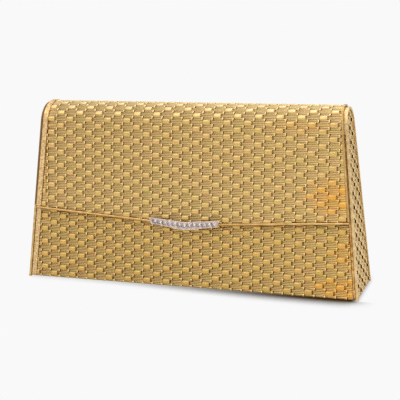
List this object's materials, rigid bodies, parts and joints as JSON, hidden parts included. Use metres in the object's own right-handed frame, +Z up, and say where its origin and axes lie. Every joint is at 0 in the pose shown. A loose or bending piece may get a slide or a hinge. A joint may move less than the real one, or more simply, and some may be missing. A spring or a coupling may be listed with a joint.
{
  "type": "clutch bag",
  "caption": "Rigid wedge-shaped evening clutch of woven gold-coloured metal with a hinged roll-over flap and a stone-set thumbpiece.",
  "frame": {"origin": "middle of the base, on the surface the bag stands on", "axes": "+X along the width, -Y towards the front with the thumbpiece, +Z up"},
  "size_m": [0.1922, 0.0398, 0.1006],
  "materials": {
    "woven_gold": "gold-plated woven wire, satin",
    "polished_gold": "gold-plated, polished",
    "white_metal": "polished white metal",
    "stone": "faceted colourless stone",
    "spring_steel": "tempered spring steel",
    "lining": "thin fitted lining"
  },
  "bodies": {
    "bag_body": {"front_panel": "woven_gold", "back_panel": "woven_gold", "base_panel": "woven_gold", "gusset_left": "woven_gold", "gusset_right": "woven_gold", "body_border_left": "polished_gold", "body_border_right": "polished_gold", "gusset_rim_left": "polished_gold", "gusset_rim_right": "polished_gold", "mouth_rim": "polished_gold", "body_hinge_leaf": "polished_gold", "hinge_pin": "polished_gold", "lock_case": "polished_gold", "catch_spring": "spring_steel", "body_lining": "lining"},
    "flap": {"flap_panel": "woven_gold", "flap_border_left": "polished_gold", "flap_border_right": "polished_gold", "flap_rail": "polished_gold", "flap_hinge_leaf": "polished_gold", "flap_lining": "lining", "thumbpiece_setting": "white_metal", "catch_tongue": "spring_steel", "stone_01": "stone", "stone_02": "stone", "stone_03": "stone", "stone_04": "stone", "stone_05": "stone", "stone_06": "stone", "stone_07": "stone", "stone_08": "stone", "stone_09": "stone", "stone_10": "stone", "stone_11": "stone", "stone_12": "stone", "stone_13": "stone"}
  },
  "joints": [
    {"name": "flap_hinge", "type": "hinge", "parent": "bag_body", "child": "flap", "pos_m": [0, 0.0104, 0.091], "axis": [-1, 0, 0], "range_deg": [0, 130]}
  ]
}
